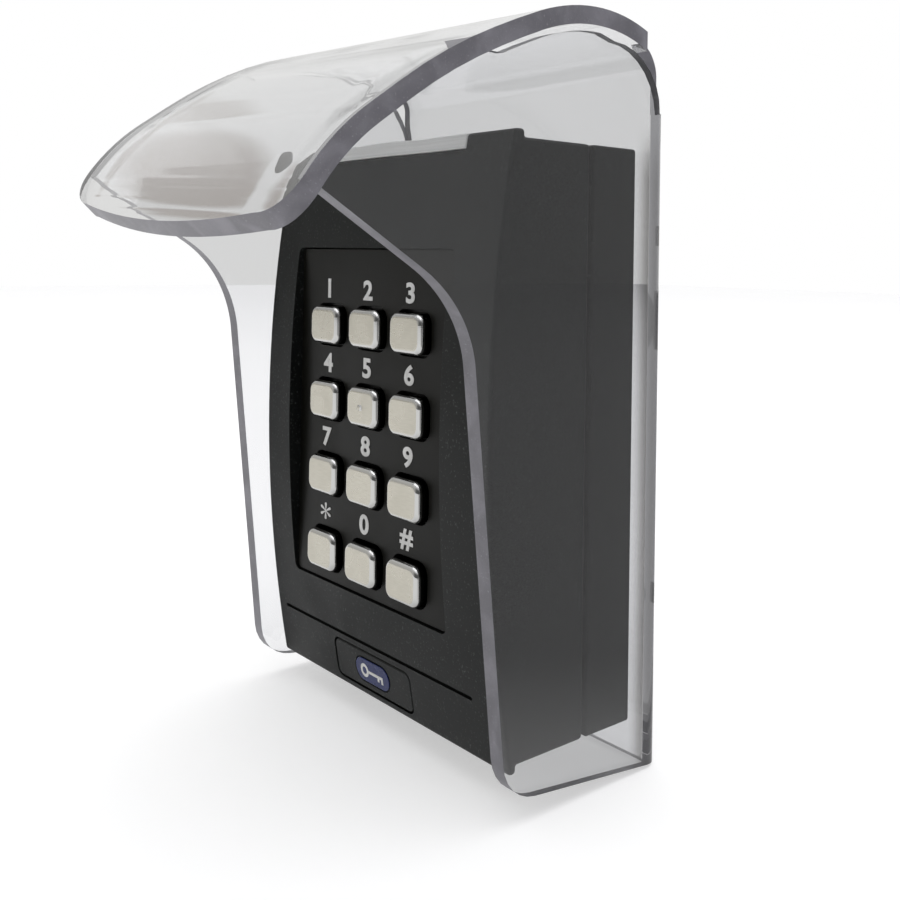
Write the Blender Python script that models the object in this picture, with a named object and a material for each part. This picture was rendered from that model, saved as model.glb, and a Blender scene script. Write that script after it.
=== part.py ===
"""Keypad card reader under a clear weather hood, for mounting on a wall.

X runs to the reader's right, Z is up, and the wall is the plane Y = 0.  The
reader stands in front of the wall, so its pieces have negative Y.  Most sizes
below are depths: distances forward from the wall.
"""
import math

import bmesh
import bpy

MM = 0.001

# ---------------------------------------------------------------- driving sizes
FIT = 0.3 * MM                      # air left between two pieces that touch
WALL = 2.2 * MM                     # moulded wall thickness of the reader

READER_WIDTH = 84.0 * MM
READER_HEIGHT = 122.0 * MM          # over the two lips of the front cover
LIP = 1.6 * MM                      # each lip stands this far past the body
READER_DEPTH = 38.3 * MM            # back of the frame to the crown of the face
STAND_OFF = 1.5 * MM                # pads hold the frame this far off the hood
FACE_BULGE = 5.75 * MM              # crown of the face over its top and bottom
FRAME_DEPTH = 12.5 * MM
GROOVE = 0.8 * MM                   # shadow gap between frame and front cover
LIP_LENGTH = 2.1 * MM
FACE_SHIFT = -1.5 * MM             # keypad, trim line and badge sit left of the middle

SHEET = 3.6 * MM                    # clear hood sheet
SIDE_GAP = 2.6 * MM                 # reader to the inside of each wing
HOOD_WIDTH = READER_WIDTH + 2 * (SIDE_GAP + SHEET)
HOOD_BOTTOM = -READER_HEIGHT / 2 - 7.0 * MM
HOOD_SHOULDER = READER_HEIGHT / 2 + 5.0 * MM    # where the side folds end
BEND_RADIUS = SHEET + 0.4 * MM      # outside of the side folds
VISOR_OVERHANG = 0.2 * MM
VISOR_BOW = 3.4 * MM                # tip rises this much from middle to sides
HAND_BEND = 2.2 * MM                # the folded visor sits higher on its left
LIP_SLANT = 1.0                     # rise over run of the cut along its lip

KEY_WIDTH = 11.6 * MM
KEY_HEIGHT = 8.5 * MM
KEY_RADIUS = 2.3 * MM
KEY_ROUNDING = 1.2 * MM             # rolled edge around the face of a key
KEY_PITCH_X = KEY_WIDTH + 4.55 * MM
KEY_PITCH_Z = KEY_HEIGHT + 8.5 * MM
KEY_TRAVEL = 0.8 * MM
KEY_CLEARANCE = 0.6 * MM
KEY_STAND = 2.4 * MM                # key face over the keypad plate
KEY_FLANGE = 1.0 * MM               # thickness and overlap of the retaining rim

RECESS_WIDTH = 2 * KEY_PITCH_X + KEY_WIDTH + 15.7 * MM
RECESS_HEIGHT = 3 * KEY_PITCH_Z + KEY_HEIGHT + 16.5 * MM
RECESS_STEP = 0.5 * MM              # least depth of the recess, at its foot
KEY_TOP_ROW = RECESS_HEIGHT / 2 - 17.6 * MM
PLATE = 1.6 * MM
BOARD = 1.6 * MM

# ---------------------------------------------------------------- derived depths
FRAME_BACK = SHEET + STAND_OFF
FRAME_FRONT = FRAME_BACK + FRAME_DEPTH
COVER_BACK = FRAME_FRONT + GROOVE
CROWN = FRAME_BACK + READER_DEPTH
FACE_EDGE = CROWN - FACE_BULGE
LIP_BACK = FACE_EDGE - LIP_LENGTH
BODY_HALF = READER_HEIGHT / 2 - LIP
CROWN_HEIGHT = 1.7 * MM             # the crown is a little over mid height
COVER_TOP_WALL = WALL + 0.4 * MM

RECESS_FOOT = (RECESS_HEIGHT / 2 + CROWN_HEIGHT) / (READER_HEIGHT / 2)
PLATE_FRONT = FACE_EDGE + FACE_BULGE * (1 - RECESS_FOOT ** 2) - RECESS_STEP
PLATE_BACK = PLATE_FRONT - PLATE
KEY_FRONT = PLATE_FRONT + KEY_STAND
KEY_RIM_FRONT = PLATE_BACK - FIT
KEY_BACK = KEY_RIM_FRONT - KEY_FLANGE
COLLAR_BACK = PLATE_BACK - 0.5 * MM
TRAY_FLANGE_FRONT = COLLAR_BACK - FIT
TRAY_BACK = TRAY_FLANGE_FRONT - 1.0 * MM
MAT_RIM_FRONT = TRAY_BACK - FIT
DOME_FRONT = KEY_BACK - KEY_TRAVEL - FIT
MAT_WEB_FRONT = MAT_RIM_FRONT - 0.7 * MM
MAT_BACK = MAT_WEB_FRONT - 0.9 * MM
BOARD_FRONT = MAT_BACK - FIT
BOARD_BACK = BOARD_FRONT - BOARD
PARTS_BACK = BOARD_BACK - FIT       # pieces on the rear of the board start here

BOSS_X = READER_WIDTH / 2 - 7.5 * MM
BOSS_Z = BODY_HALF - 10.9 * MM
CABLE_Z = 22.0 * MM
CABLE_HOLE = 7.0 * MM
WALL_SCREW_Z = BODY_HALF - 17.4 * MM
HOOK_DEPTH = COVER_BACK + 2.6 * MM
SECURITY_DEPTH = COVER_BACK + 6.0 * MM
TRIM_LINE_Z = -BODY_HALF + 10.8 * MM
LIGHT_HALF = READER_WIDTH / 2 - 15.0 * MM
LIGHT_LOW = READER_HEIGHT / 2 - 3.1 * MM
LIGHT_BACK = FACE_EDGE - 3.9 * MM
BADGE_WIDTH = 29.4 * MM
BADGE_HEIGHT = 8.6 * MM
BADGE_Z = -READER_HEIGHT / 2 + 6.1 * MM

KEY_NAMES = (
    ("key_1", "key_2", "key_3"),
    ("key_4", "key_5", "key_6"),
    ("key_7", "key_8", "key_9"),
    ("key_star", "key_0", "key_hash"),
)


# ---------------------------------------------------------------- small tools
def material(name, colour, roughness, metallic=0.0, transmission=0.0):
    """A Principled material in the piece's own colour."""
    made = bpy.data.materials.get(name)
    if made:
        return made
    made = bpy.data.materials.new(name)
    made.use_nodes = True
    shader = made.node_tree.nodes["Principled BSDF"]
    shader.inputs["Base Color"].default_value = (*colour, 1.0)
    shader.inputs["Roughness"].default_value = roughness
    shader.inputs["Metallic"].default_value = metallic
    shader.inputs["Transmission Weight"].default_value = transmission
    return made


def clear_sheet():
    return material("clear polycarbonate", (0.93, 0.94, 0.95), 0.05, transmission=1.0)


def black_plastic():
    return material("black moulded plastic", (0.028, 0.030, 0.029), 0.55)


def panel_plastic():
    return material("smooth black panel", (0.016, 0.016, 0.014), 0.42)


def key_metal():
    return material("satin key metal", (0.56, 0.54, 0.48), 0.30, metallic=1.0)


def screw_steel():
    return material("zinc plated steel", (0.60, 0.60, 0.58), 0.32, metallic=1.0)


def black_rubber():
    return material("black rubber", (0.02, 0.02, 0.02), 0.80)


def board_green():
    return material("circuit board", (0.02, 0.11, 0.05), 0.45)


def new_object(name, bm, look, at=(0.0, 0.0, 0.0)):
    """Store a bmesh as a named object with its origin at a point."""
    bmesh.ops.recalc_face_normals(bm, faces=bm.faces)
    mesh = bpy.data.meshes.new(name)
    bm.to_mesh(mesh)
    bm.free()
    made = bpy.data.objects.new(name, mesh)
    made.location = at
    bpy.context.scene.collection.objects.link(made)
    if look:
        made.data.materials.append(look)
    mesh.shade_smooth()
    mesh.set_sharp_from_angle(angle=math.radians(35))
    return made


def loft(name, rings, look=None, at=(0.0, 0.0, 0.0)):
    """A closed solid through rings of matching points, capped at both ends."""
    bm = bmesh.new()
    loops = [[bm.verts.new(point) for point in ring] for ring in rings]
    count = len(loops[0])
    for near, far in zip(loops, loops[1:]):
        for i in range(count):
            j = (i + 1) % count
            bm.faces.new((near[i], near[j], far[j], far[i]))
    bm.faces.new(loops[0])
    bm.faces.new(loops[-1])
    return new_object(name, bm, look, at)


def rounded_rectangle(width, height, radius, steps=5):
    """Corner-rounded rectangle about the origin, as (x, z) points."""
    points = []
    for corner, (sx, sz) in enumerate(((1, 1), (-1, 1), (-1, -1), (1, -1))):
        cx = sx * (width / 2 - radius)
        cz = sz * (height / 2 - radius)
        for step in range(steps + 1):
            angle = math.radians(90 * (corner + step / steps))
            points.append((cx + radius * math.cos(angle), cz + radius * math.sin(angle)))
    return points


def circle(radius, steps=24):
    turn = math.tau / steps
    return [(radius * math.cos(i * turn), radius * math.sin(i * turn)) for i in range(steps)]


def stack(name, layers, look=None, centre=(0.0, 0.0), origin_depth=0.0):
    """Lofts outlines given as (depth, [(x, z), ...]), from back to front."""
    rings = [[(x, origin_depth - depth, z) for x, z in outline] for depth, outline in layers]
    return loft(name, rings, look, (centre[0], -origin_depth, centre[1]))


def slab(name, outline, back, front, look=None, centre=(0.0, 0.0)):
    """An outline carried straight forward from one depth to another."""
    return stack(name, [(back, outline), (front, outline)], look, centre)


def block(name, width, height, back, front, look=None, centre=(0.0, 0.0)):
    x, z = width / 2, height / 2
    return slab(name, [(x, z), (-x, z), (-x, -z), (x, -z)], back, front, look, centre)


def prism(name, outline, half_width, look=None, steps=1):
    """An outline of (depth, z) points carried across the reader's width."""
    rings = []
    for i in range(steps + 1):
        x = half_width * (2 * i / steps - 1)
        rings.append([(x, -depth, z) for depth, z in outline])
    return loft(name, rings, look)


def boolean(target, tool, operation):
    """Combine another solid with the target and keep that solid as a guide."""
    tool.hide_render = True
    tool.display_type = "WIRE"
    step = target.modifiers.new(tool.name, "BOOLEAN")
    step.operation = operation
    step.solver = "EXACT"
    step.object = tool


def cut(target, tool):
    boolean(target, tool, "DIFFERENCE")


def add(target, tool):
    boolean(target, tool, "UNION")


def soften(target, width, segments=2, angle=40):
    """Round the sharp edges that a moulding leaves."""
    bevel = target.modifiers.new("soft edges", "BEVEL")
    bevel.width = width
    bevel.segments = segments
    bevel.limit_method = "ANGLE"
    bevel.angle_limit = math.radians(angle)
    bevel.use_clamp_overlap = True


def walk(start, heading, legs):
    """Follow bends and straight runs in the (depth, z) plane.

    The heading is measured from straight up towards the front.  A leg is
    (radius, degrees) for a bend or (length, 0) for a straight run.  Yields
    each point with the heading there.
    """
    depth, z = start
    angle = math.radians(heading)
    path = [(depth, z, angle)]
    for size, degrees in legs:
        if degrees == 0:
            depth += size * math.sin(angle)
            z += size * math.cos(angle)
            path.append((depth, z, angle))
            continue
        steps = max(4, round(degrees / 3))
        turn = math.radians(degrees) / steps
        for _ in range(steps):
            depth += size * (math.cos(angle) - math.cos(angle + turn))
            z += size * (math.sin(angle + turn) - math.sin(angle))
            angle += turn
            path.append((depth, z, angle))
    return path


def beside(path, distance):
    """The path moved sideways, towards the hollow side of its bends."""
    return [(d + distance * math.cos(a), z - distance * math.sin(a)) for d, z, a in path]


def face_depth(z):
    """Depth of the reader's bowed face at a height."""
    part = (z - CROWN_HEIGHT) / (READER_HEIGHT / 2)
    return FACE_EDGE + FACE_BULGE * (1 - part * part)


# ---------------------------------------------------------------- weather hood
def visor_path():
    """Outside of the sheet: up the wall, over the reader and down at the tip."""
    return walk(
        (0.0, HOOD_SHOULDER),
        0,
        (
            (8.7 * MM, 0),          # upright strip above the side folds
            (8.0 * MM, 62),         # tight fold off the wall
            (40.7 * MM, 47),        # crown over the reader
            (111.0 * MM, 18),       # long slope
            (7.7 * MM, 0),
            (47.8 * MM, 32),        # drooping nose
            (1.6 * MM, 0),
        ),
    )


def hood_side_outline():
    """Side view of the folded sheet: the shape that trims its two wings."""
    foot = (CROWN - 0.5 * MM, HOOD_BOTTOM + 5.0 * MM)
    slope = 5.3
    straight = (HOOD_SHOULDER - 49.1 * MM - foot[1]) / math.cos(math.radians(slope))
    front = walk(foot, slope, ((straight, 0), (26.4 * MM, 52), (24.0 * MM, 0)))
    lower_corner = 9.0 * MM
    outline = [(-1.0 * MM, HOOD_BOTTOM)]
    centre = (foot[0] - lower_corner * 1.03, foot[1] + lower_corner * 0.93)
    for step in range(7):
        angle = math.radians(-83 + step * 13)
        outline.append(
            (centre[0] + lower_corner * math.cos(angle), centre[1] + lower_corner * math.sin(angle))
        )
    outline += [(d, z) for d, z, _ in front[1:]]
    # Back along the visor: bonded to it in front, a little below it behind.
    visor = visor_path()
    bonded = [p for p in visor if p[0] > 48 * MM and p[1] > front[-1][1] + 1 * MM]
    free = [p for p in visor if 20 * MM < p[0] <= 48 * MM]
    outline += [(d, z) for d, z in reversed(beside(bonded, SHEET * 0.5))]
    outline += [(d, z) for d, z in reversed(beside(free, SHEET + 1.3 * MM))]
    # The upper rear corner is rounded down to the relief cut at the shoulder.
    corner = 14.6 * MM
    centre = (17.0 * MM, HOOD_SHOULDER - 0.4 * MM)
    for step in range(8):
        angle = math.radians(92 + step * 12)
        outline.append((centre[0] + corner * math.cos(angle), centre[1] + corner * math.sin(angle)))
    outline.append((1.0 * MM, HOOD_SHOULDER + 1 * MM))
    outline.append((-1.0 * MM, HOOD_SHOULDER + 1 * MM))
    return outline


def folded_channel():
    """Back plate with a wing folded forward on each side, before trimming."""
    half = HOOD_WIDTH / 2
    reach = 95 * MM
    right_outside = [(half, -reach)]
    right_inside = [(half - SHEET, -reach)]
    for step in range(7):
        angle = math.radians(15 * step)
        x = half - BEND_RADIUS + BEND_RADIUS * math.cos(angle)
        y = -BEND_RADIUS + BEND_RADIUS * math.sin(angle)
        right_outside.append((x, y))
        inner = BEND_RADIUS - SHEET
        x = half - BEND_RADIUS + inner * math.cos(angle)
        y = -BEND_RADIUS + inner * math.sin(angle)
        right_inside.append((x, y))
    outside = right_outside + [(-x, y) for x, y in reversed(right_outside)]
    inside = right_inside + [(-x, y) for x, y in reversed(right_inside)]
    section = outside + list(reversed(inside))
    low, high = HOOD_BOTTOM - 12 * MM, HOOD_SHOULDER + 30 * MM
    rings = [[(x, y, z) for x, y in section] for z in (low, high)]
    return loft("weather_hood", rings, clear_sheet())


def bake(target):
    """Replace an object's mesh and modifiers with the shape they make."""
    view = bpy.context.evaluated_depsgraph_get()
    mesh = bpy.data.meshes.new_from_object(target.evaluated_get(view))
    target.modifiers.clear()
    target.data = mesh


def smooth_step(value):
    value = min(1.0, max(0.0, value))
    return value * value * (3 - 2 * value)


def weather_hood():
    """One clear sheet: back plate, two wings and a visor curling forward."""
    hood = folded_channel()
    boolean(hood, prism("hood_trim", hood_side_outline(), HOOD_WIDTH), "INTERSECT")

    path = visor_path()
    outline = [(d, z) for d, z, _ in path] + list(reversed(beside(path, SHEET)))
    half = HOOD_WIDTH / 2 + VISOR_OVERHANG
    visor = prism("hood_visor", outline, half, steps=12)
    # Relief cuts free the visor from the folds at its two rear corners.
    relief_depth = 7.1 * MM
    relief = 6.0 * MM
    for side, name in ((-1, "left"), (1, "right")):
        notch = block(
            f"hood_relief_{name}", relief * 2, 50 * MM, -5 * MM, relief_depth,
            centre=(side * (half + 2.1 * MM), HOOD_SHOULDER + 20 * MM),
        )
        cut(visor, notch)
    depth, z, heading = path[-1]
    inner_lip = (depth + SHEET * math.cos(heading), z - SHEET * math.sin(heading))
    cut(visor, nose_waste(half, *inner_lip))
    add(hood, visor)

    cut(hood, slab("hood_cable_hole", circle(CABLE_HOLE), -1 * MM, 6 * MM, centre=(0, CABLE_Z)))
    for side, name in ((-1, "low"), (1, "high")):
        hole = slab(f"hood_screw_hole_{name}", circle(2.4 * MM, 16), -1 * MM, 6 * MM,
                    centre=(0, side * WALL_SCREW_Z))
        cut(hood, hole)
    bake(hood)

    # The sheet was folded by hand, so the visor leans a little to its right.
    for vertex in hood.data.vertices:
        x, y, z = vertex.co
        forward = smooth_step((-y - SHEET) / (45 * MM))
        upward = smooth_step((z - 5 * MM) / (35 * MM))
        vertex.co.z -= HAND_BEND * (x / (HOOD_WIDTH / 2)) * forward * upward
    return hood


def nose_waste(half, depth, low):
    """Waste in front of the visor's bowed lip and outside its rounded corners."""
    radius = 10.0 * MM
    far, deep = half + 3 * MM, low - 4 * MM
    outline = [(-far, deep), (far, deep), (far, low + VISOR_BOW + radius)]
    for step in range(9):
        angle = math.radians(-90 * step / 8)
        x = half - radius + radius * math.cos(angle)
        outline.append((x, low + VISOR_BOW + radius * (1 + math.sin(angle))))
    steps = 16
    reach = half - radius
    for step in range(1, steps):
        x = reach * (1 - 2 * step / steps)
        outline.append((x, low + VISOR_BOW * (x / reach) ** 2))
    for x, z in reversed(outline[2:12]):
        outline.append((-x, z))
    # The lip is cut at a slant, so its sawn face looks forward and down.
    layers = []
    for back in (-20 * MM, 12 * MM):
        slant = back * LIP_SLANT
        layers.append((depth + back, [(x, z + slant) for x, z in outline]))
    return stack("hood_nose_waste", layers)


# ---------------------------------------------------------------- reader body
def mounting_frame():
    """Shallow tray screwed to the wall through the hood's back plate."""
    look = black_plastic()
    frame = block("mounting_frame", READER_WIDTH, 2 * BODY_HALF, FRAME_BACK, FRAME_FRONT, look)
    soften(frame, 0.6 * MM)
    inner_width = READER_WIDTH - 2 * WALL - 2 * FIT - 0.2 * MM
    inner_height = 2 * (BODY_HALF - COVER_TOP_WALL - FIT - 0.1 * MM)
    tongue = block("frame_tongue", inner_width, inner_height, FRAME_BACK + 1 * MM,
                   FRAME_FRONT + 2.4 * MM)
    add(frame, tongue)
    pads = [(0, -WALL_SCREW_Z), (0, WALL_SCREW_Z)]
    corner = (READER_WIDTH / 2 - 12 * MM, BODY_HALF - 11.4 * MM)
    pads += [(x * corner[0], z * corner[1]) for x in (-1, 1) for z in (-1, 1)]
    for number, place in enumerate(pads):
        add(frame, slab(f"frame_pad_{number}", circle(5.5 * MM, 20), SHEET + FIT,
                        FRAME_BACK + 1 * MM, centre=place))
    hook_top = BODY_HALF - 2.0 * MM
    lug_bottom = inner_height / 2 - 3.6 * MM
    hook_arm = slab("frame_hook_arm", span(-8, 8, lug_bottom, inner_height / 2),
                    FRAME_FRONT, HOOK_DEPTH + 1.2 * MM)
    add(frame, hook_arm)
    hook = slab("frame_hook", span(-8, 8, lug_bottom, hook_top), HOOK_DEPTH, HOOK_DEPTH + 1.2 * MM)
    add(frame, hook)
    lug = slab("frame_lug", span(-5, 5, -inner_height / 2, -lug_bottom), FRAME_FRONT,
               SECURITY_DEPTH + 4 * MM)
    add(frame, lug)
    hollow_width = inner_width - 2 * 1.6 * MM
    hollow_height = inner_height - 2 * 1.6 * MM
    hollow = block("frame_hollow", hollow_width, hollow_height, FRAME_BACK + 2.4 * MM,
                   FRAME_FRONT + 3 * MM)
    lug_room = slab("frame_lug_room", span(-6, 6, -inner_height / 2, -lug_bottom),
                    FRAME_FRONT - 2 * MM, FRAME_FRONT + 12 * MM)
    hook_room = slab("frame_hook_room", span(-9, 9, lug_bottom, inner_height / 2),
                     FRAME_FRONT - 2 * MM, FRAME_FRONT + 12 * MM)
    cut(hollow, lug_room)
    cut(hollow, hook_room)
    cut(frame, hollow)
    cut(frame, slab("frame_cable_hole", circle(CABLE_HOLE), 0, 10 * MM, centre=(0, CABLE_Z)))
    for side, name in ((-1, "low"), (1, "high")):
        hole = slab(f"frame_screw_hole_{name}", circle(2.4 * MM, 16), 0, 10 * MM,
                    centre=(0, side * WALL_SCREW_Z))
        cut(frame, hole)
    cut(frame, upright_cylinder("frame_lock_hole", 1.7 * MM, -BODY_HALF - 1 * MM,
                                -BODY_HALF + 9 * MM, SECURITY_DEPTH))
    return frame


def span(left, right, low, high):
    """Rectangle from two sides in millimetres and two heights in metres."""
    return [(right * MM, high), (left * MM, high), (left * MM, low), (right * MM, low)]


def upright_cylinder(name, radius, low, high, depth, look=None, steps=20):
    ring = circle(radius, steps)
    rings = [[(x, y - depth, z) for x, y in ring] for z in (low, high)]
    return loft(name, rings, look)


def body_gasket():
    """Foam ring that closes the joint between frame and cover."""
    outer_width = READER_WIDTH - 2 * (1.0 * MM + FIT)
    outer_height = 2 * (BODY_HALF - 1.2 * MM - FIT)
    gasket = block("body_gasket", outer_width, outer_height, FRAME_FRONT + FIT,
                   COVER_BACK + 0.9 * MM, black_rubber())
    inner_width = READER_WIDTH - 2 * WALL - 0.2 * MM
    inner_height = 2 * (BODY_HALF - COVER_TOP_WALL - 0.1 * MM) + 2 * FIT - 0.4 * MM
    cut(gasket, block("gasket_middle", inner_width, inner_height, FRAME_FRONT - 1 * MM,
                      COVER_BACK + 3 * MM))
    return gasket


def cover_outline():
    """Side view of the front cover: straight body, two lips, bowed face."""
    lip_half = READER_HEIGHT / 2
    outline = [(COVER_BACK, -BODY_HALF), (LIP_BACK, -BODY_HALF), (LIP_BACK, -lip_half)]
    steps = 28
    for i in range(steps + 1):
        z = lip_half * (2 * i / steps - 1)
        outline.append((face_depth(z), z))
    outline += [(LIP_BACK, lip_half), (LIP_BACK, BODY_HALF), (COVER_BACK, BODY_HALF)]
    return outline


def cover_cavity():
    """Space inside the cover, leaving a collar and four screw bosses."""
    high = BODY_HALF - COVER_TOP_WALL
    outline = [(COVER_BACK - 2 * MM, high), (COVER_BACK - 2 * MM, -high)]
    steps = 14
    for i in range(steps + 1):
        z = high * (2 * i / steps - 1)
        outline.append((face_depth(z) - WALL, z))
    cavity = prism("cover_cavity", outline, READER_WIDTH / 2 - WALL)
    cut(cavity, block("cover_collar", RECESS_WIDTH + 2 * WALL, RECESS_HEIGHT + 2 * WALL,
                      COLLAR_BACK, CROWN + 5 * MM, centre=(FACE_SHIFT, 0)))
    for sx in (-1, 1):
        for sz in (-1, 1):
            boss = slab(f"cover_boss_{sx + 1}{sz + 1}", circle(3.0 * MM, 20),
                        BOARD_FRONT + FIT, CROWN, centre=(sx * BOSS_X, sz * BOSS_Z))
            cut(cavity, boss)
    return cavity


def front_cover():
    """Bowed front moulding with its keypad window, trim line and pockets."""
    cover = prism("front_cover", cover_outline(), READER_WIDTH / 2, black_plastic())
    soften(cover, 1.0 * MM, 3)
    cut(cover, cover_cavity())
    cut(cover, slab("cover_window", rounded_rectangle(RECESS_WIDTH, RECESS_HEIGHT, 1.6 * MM),
                    COLLAR_BACK - 1 * MM, CROWN + 5 * MM, centre=(FACE_SHIFT, 0)))
    line = rounded_rectangle(READER_WIDTH - 11.2 * MM, 0.8 * MM, 0.38 * MM, 3)
    groove = slab("cover_trim_line", line, face_depth(TRIM_LINE_Z) - 0.8 * MM, CROWN,
                  centre=(FACE_SHIFT, TRIM_LINE_Z))
    cut(cover, groove)
    cut(cover, badge_solid("cover_badge_pocket", FIT + 0.1 * MM, 1.2 * MM, -2 * MM))
    seat = light_bar_outline(FIT)
    cut(cover, prism("cover_light_seat", seat, LIGHT_HALF + FIT))
    cut(cover, light_leg("cover_light_slot", FIT))
    rebate_width = READER_WIDTH - 2 * 1.0 * MM
    rebate_height = 2 * (BODY_HALF - 1.2 * MM)
    cut(cover, block("cover_rebate", rebate_width, rebate_height, COVER_BACK - 2 * MM,
                     COVER_BACK + 1.2 * MM))
    cut(cover, slab("cover_hook_slot", span(-9, 9, BODY_HALF - 5 * MM, BODY_HALF - 1.6 * MM),
                    HOOK_DEPTH - 0.5 * MM, HOOK_DEPTH + 1.8 * MM))
    cut(cover, upright_cylinder("cover_lock_hole", 1.8 * MM, -BODY_HALF - 2 * MM,
                                -BODY_HALF + 6 * MM, SECURITY_DEPTH))
    cut(cover, upright_cylinder("cover_lock_seat", 3.1 * MM, -BODY_HALF - 2 * MM,
                                -BODY_HALF + 1.3 * MM, SECURITY_DEPTH))
    for sx in (-1, 1):
        for sz in (-1, 1):
            pilot = slab(f"cover_pilot_{sx + 1}{sz + 1}", circle(1.4 * MM, 12),
                         BOARD_FRONT - 1 * MM, BOARD_FRONT + 3.2 * MM,
                         centre=(sx * BOSS_X, sz * BOSS_Z))
            cut(cover, pilot)
    return cover


def light_bar_outline(grow):
    """Side view of the light bar; it follows the face and the upper lip."""
    top = READER_HEIGHT / 2
    if grow:
        front = FACE_EDGE + FACE_BULGE
        high = top + 3 * MM
        return [(LIGHT_BACK - grow, LIGHT_LOW - grow), (front, LIGHT_LOW - grow),
                (front, high), (LIGHT_BACK - grow, high)]
    outline = [(LIGHT_BACK, LIGHT_LOW)]
    for i in range(4):
        z = LIGHT_LOW + (top - LIGHT_LOW) * i / 3
        outline.append((face_depth(z), z))
    outline.append((LIGHT_BACK, top))
    return outline


def light_leg(name, grow):
    """Light guide that carries the board's light up to the bar."""
    low, high = LIGHT_LOW - 4.7 * MM - grow, LIGHT_LOW + 0.8 * MM
    middle = (low + high) / 2
    return block(name, 28 * MM + 2 * grow, high - low, LIGHT_BACK + 0.6 * MM - grow,
                 LIGHT_BACK + 2.4 * MM + grow, centre=(0, middle))


def light_bar():
    look = material("milky light guide", (0.42, 0.42, 0.43), 0.35, transmission=0.3)
    bar = prism("light_bar", light_bar_outline(0), LIGHT_HALF, look)
    soften(bar, 0.35 * MM)
    add(bar, light_leg("light_guide_leg", 0))
    return bar


# ---------------------------------------------------------------- badge
def badge_solid(name, grow, below, above, look=None):
    """Rounded tile lying along the face's slope at the badge."""
    slope = math.atan2(face_depth(BADGE_Z + 4 * MM) - face_depth(BADGE_Z - 4 * MM), 8 * MM)
    outline = rounded_rectangle(BADGE_WIDTH + 2 * grow, BADGE_HEIGHT + 2 * grow, 1.6 * MM + grow)
    made = stack(name, [(-below, outline), (-above, outline)], look)
    made.location = (FACE_SHIFT, -face_depth(BADGE_Z), BADGE_Z)
    made.rotation_euler = (slope, 0, 0)
    return made


def badge_plate():
    """Snap-in tile that closes the pocket under the trim line."""
    plate = badge_solid("badge_plate", 0, 1.2 * MM - FIT, 0.05 * MM, black_plastic())
    soften(plate, 0.25 * MM)
    tile = emblem_tile("badge_plate_seat", 0.3 * MM, 0.5 * MM, -1 * MM)
    cut(plate, tile)
    return plate


def emblem_tile(name, grow, below, above, look=None):
    """Pill-shaped tile set in the middle of the badge plate."""
    slope = math.atan2(face_depth(BADGE_Z + 4 * MM) - face_depth(BADGE_Z - 4 * MM), 8 * MM)
    outline = rounded_rectangle(13 * MM + 2 * grow, 5.2 * MM + 2 * grow, 2.6 * MM + grow, 8)
    made = stack(name, [(-below, outline), (-above, outline)], look)
    made.location = (FACE_SHIFT, -face_depth(BADGE_Z), BADGE_Z)
    made.rotation_euler = (slope, 0, 0)
    return made


def badge_emblem():
    look = material("blue emblem enamel", (0.030, 0.050, 0.14), 0.30)
    return emblem_tile("badge_emblem", 0, 0.2 * MM, -0.05 * MM, look)


# ---------------------------------------------------------------- keypad
def key_places():
    """Each key's name with the centre of its face."""
    for row, names in enumerate(KEY_NAMES):
        for column, name in enumerate(names):
            x = FACE_SHIFT + (column - 1) * KEY_PITCH_X
            yield name, x, KEY_TOP_ROW - row * KEY_PITCH_Z


def keypad_plate():
    """Tray-shaped panel that closes the window and guides the keys."""
    plate = slab("keypad_plate",
                 rounded_rectangle(RECESS_WIDTH - 2 * FIT, RECESS_HEIGHT - 2 * FIT, 1.4 * MM),
                 TRAY_BACK, PLATE_FRONT, panel_plastic(), (FACE_SHIFT, 0))
    flange = block("plate_flange", RECESS_WIDTH + 2 * WALL, RECESS_HEIGHT + 2 * WALL,
                   TRAY_BACK, TRAY_FLANGE_FRONT, centre=(FACE_SHIFT, 0))
    add(plate, flange)
    cut(plate, block("plate_hollow", RECESS_WIDTH - 4 * MM, RECESS_HEIGHT - 4 * MM,
                     TRAY_BACK - 1 * MM, PLATE_BACK, centre=(FACE_SHIFT, 0)))
    hole = rounded_rectangle(KEY_WIDTH + 2 * KEY_CLEARANCE, KEY_HEIGHT + 2 * KEY_CLEARANCE,
                             KEY_RADIUS + KEY_CLEARANCE)
    for name, x, z in key_places():
        cut(plate, slab(f"plate_hole_{name}", hole, TRAY_BACK - 1 * MM, PLATE_FRONT + 1 * MM,
                        centre=(x, z)))
    return plate


def keys():
    """Twelve die-cast caps; a rim behind the plate keeps each one in."""
    look = key_metal()
    rim = rounded_rectangle(KEY_WIDTH + 2 * KEY_FLANGE, KEY_HEIGHT + 2 * KEY_FLANGE,
                            KEY_RADIUS + KEY_FLANGE)
    body = rounded_rectangle(KEY_WIDTH, KEY_HEIGHT, KEY_RADIUS)
    edge = KEY_ROUNDING
    steps = 6
    for name, x, z in key_places():
        layers = [(KEY_BACK, rim), (KEY_RIM_FRONT, rim), (KEY_RIM_FRONT, body),
                  (KEY_FRONT - edge, body)]
        for step in range(1, steps + 1):
            angle = math.radians(90 * step / steps)
            inset = edge * (1 - math.cos(angle))
            outline = rounded_rectangle(KEY_WIDTH - 2 * inset, KEY_HEIGHT - 2 * inset,
                                        KEY_RADIUS - inset * 0.8)
            layers.append((KEY_FRONT - edge + edge * math.sin(angle), outline))
        if name == "key_5":
            pip = circle_like(layers[-1][1], 0.9 * MM)
            layers.append((KEY_FRONT, pip))
            layers.append((KEY_FRONT + 0.35 * MM, circle_like(layers[-1][1], 0.55 * MM)))
        stack(name, layers, look, (x, z), KEY_FRONT)


def circle_like(outline, radius):
    """A small circle with one point for each point of an outline."""
    points = []
    for x, z in outline:
        angle = math.atan2(z, x)
        points.append((radius * math.cos(angle), radius * math.sin(angle)))
    return points


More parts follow.
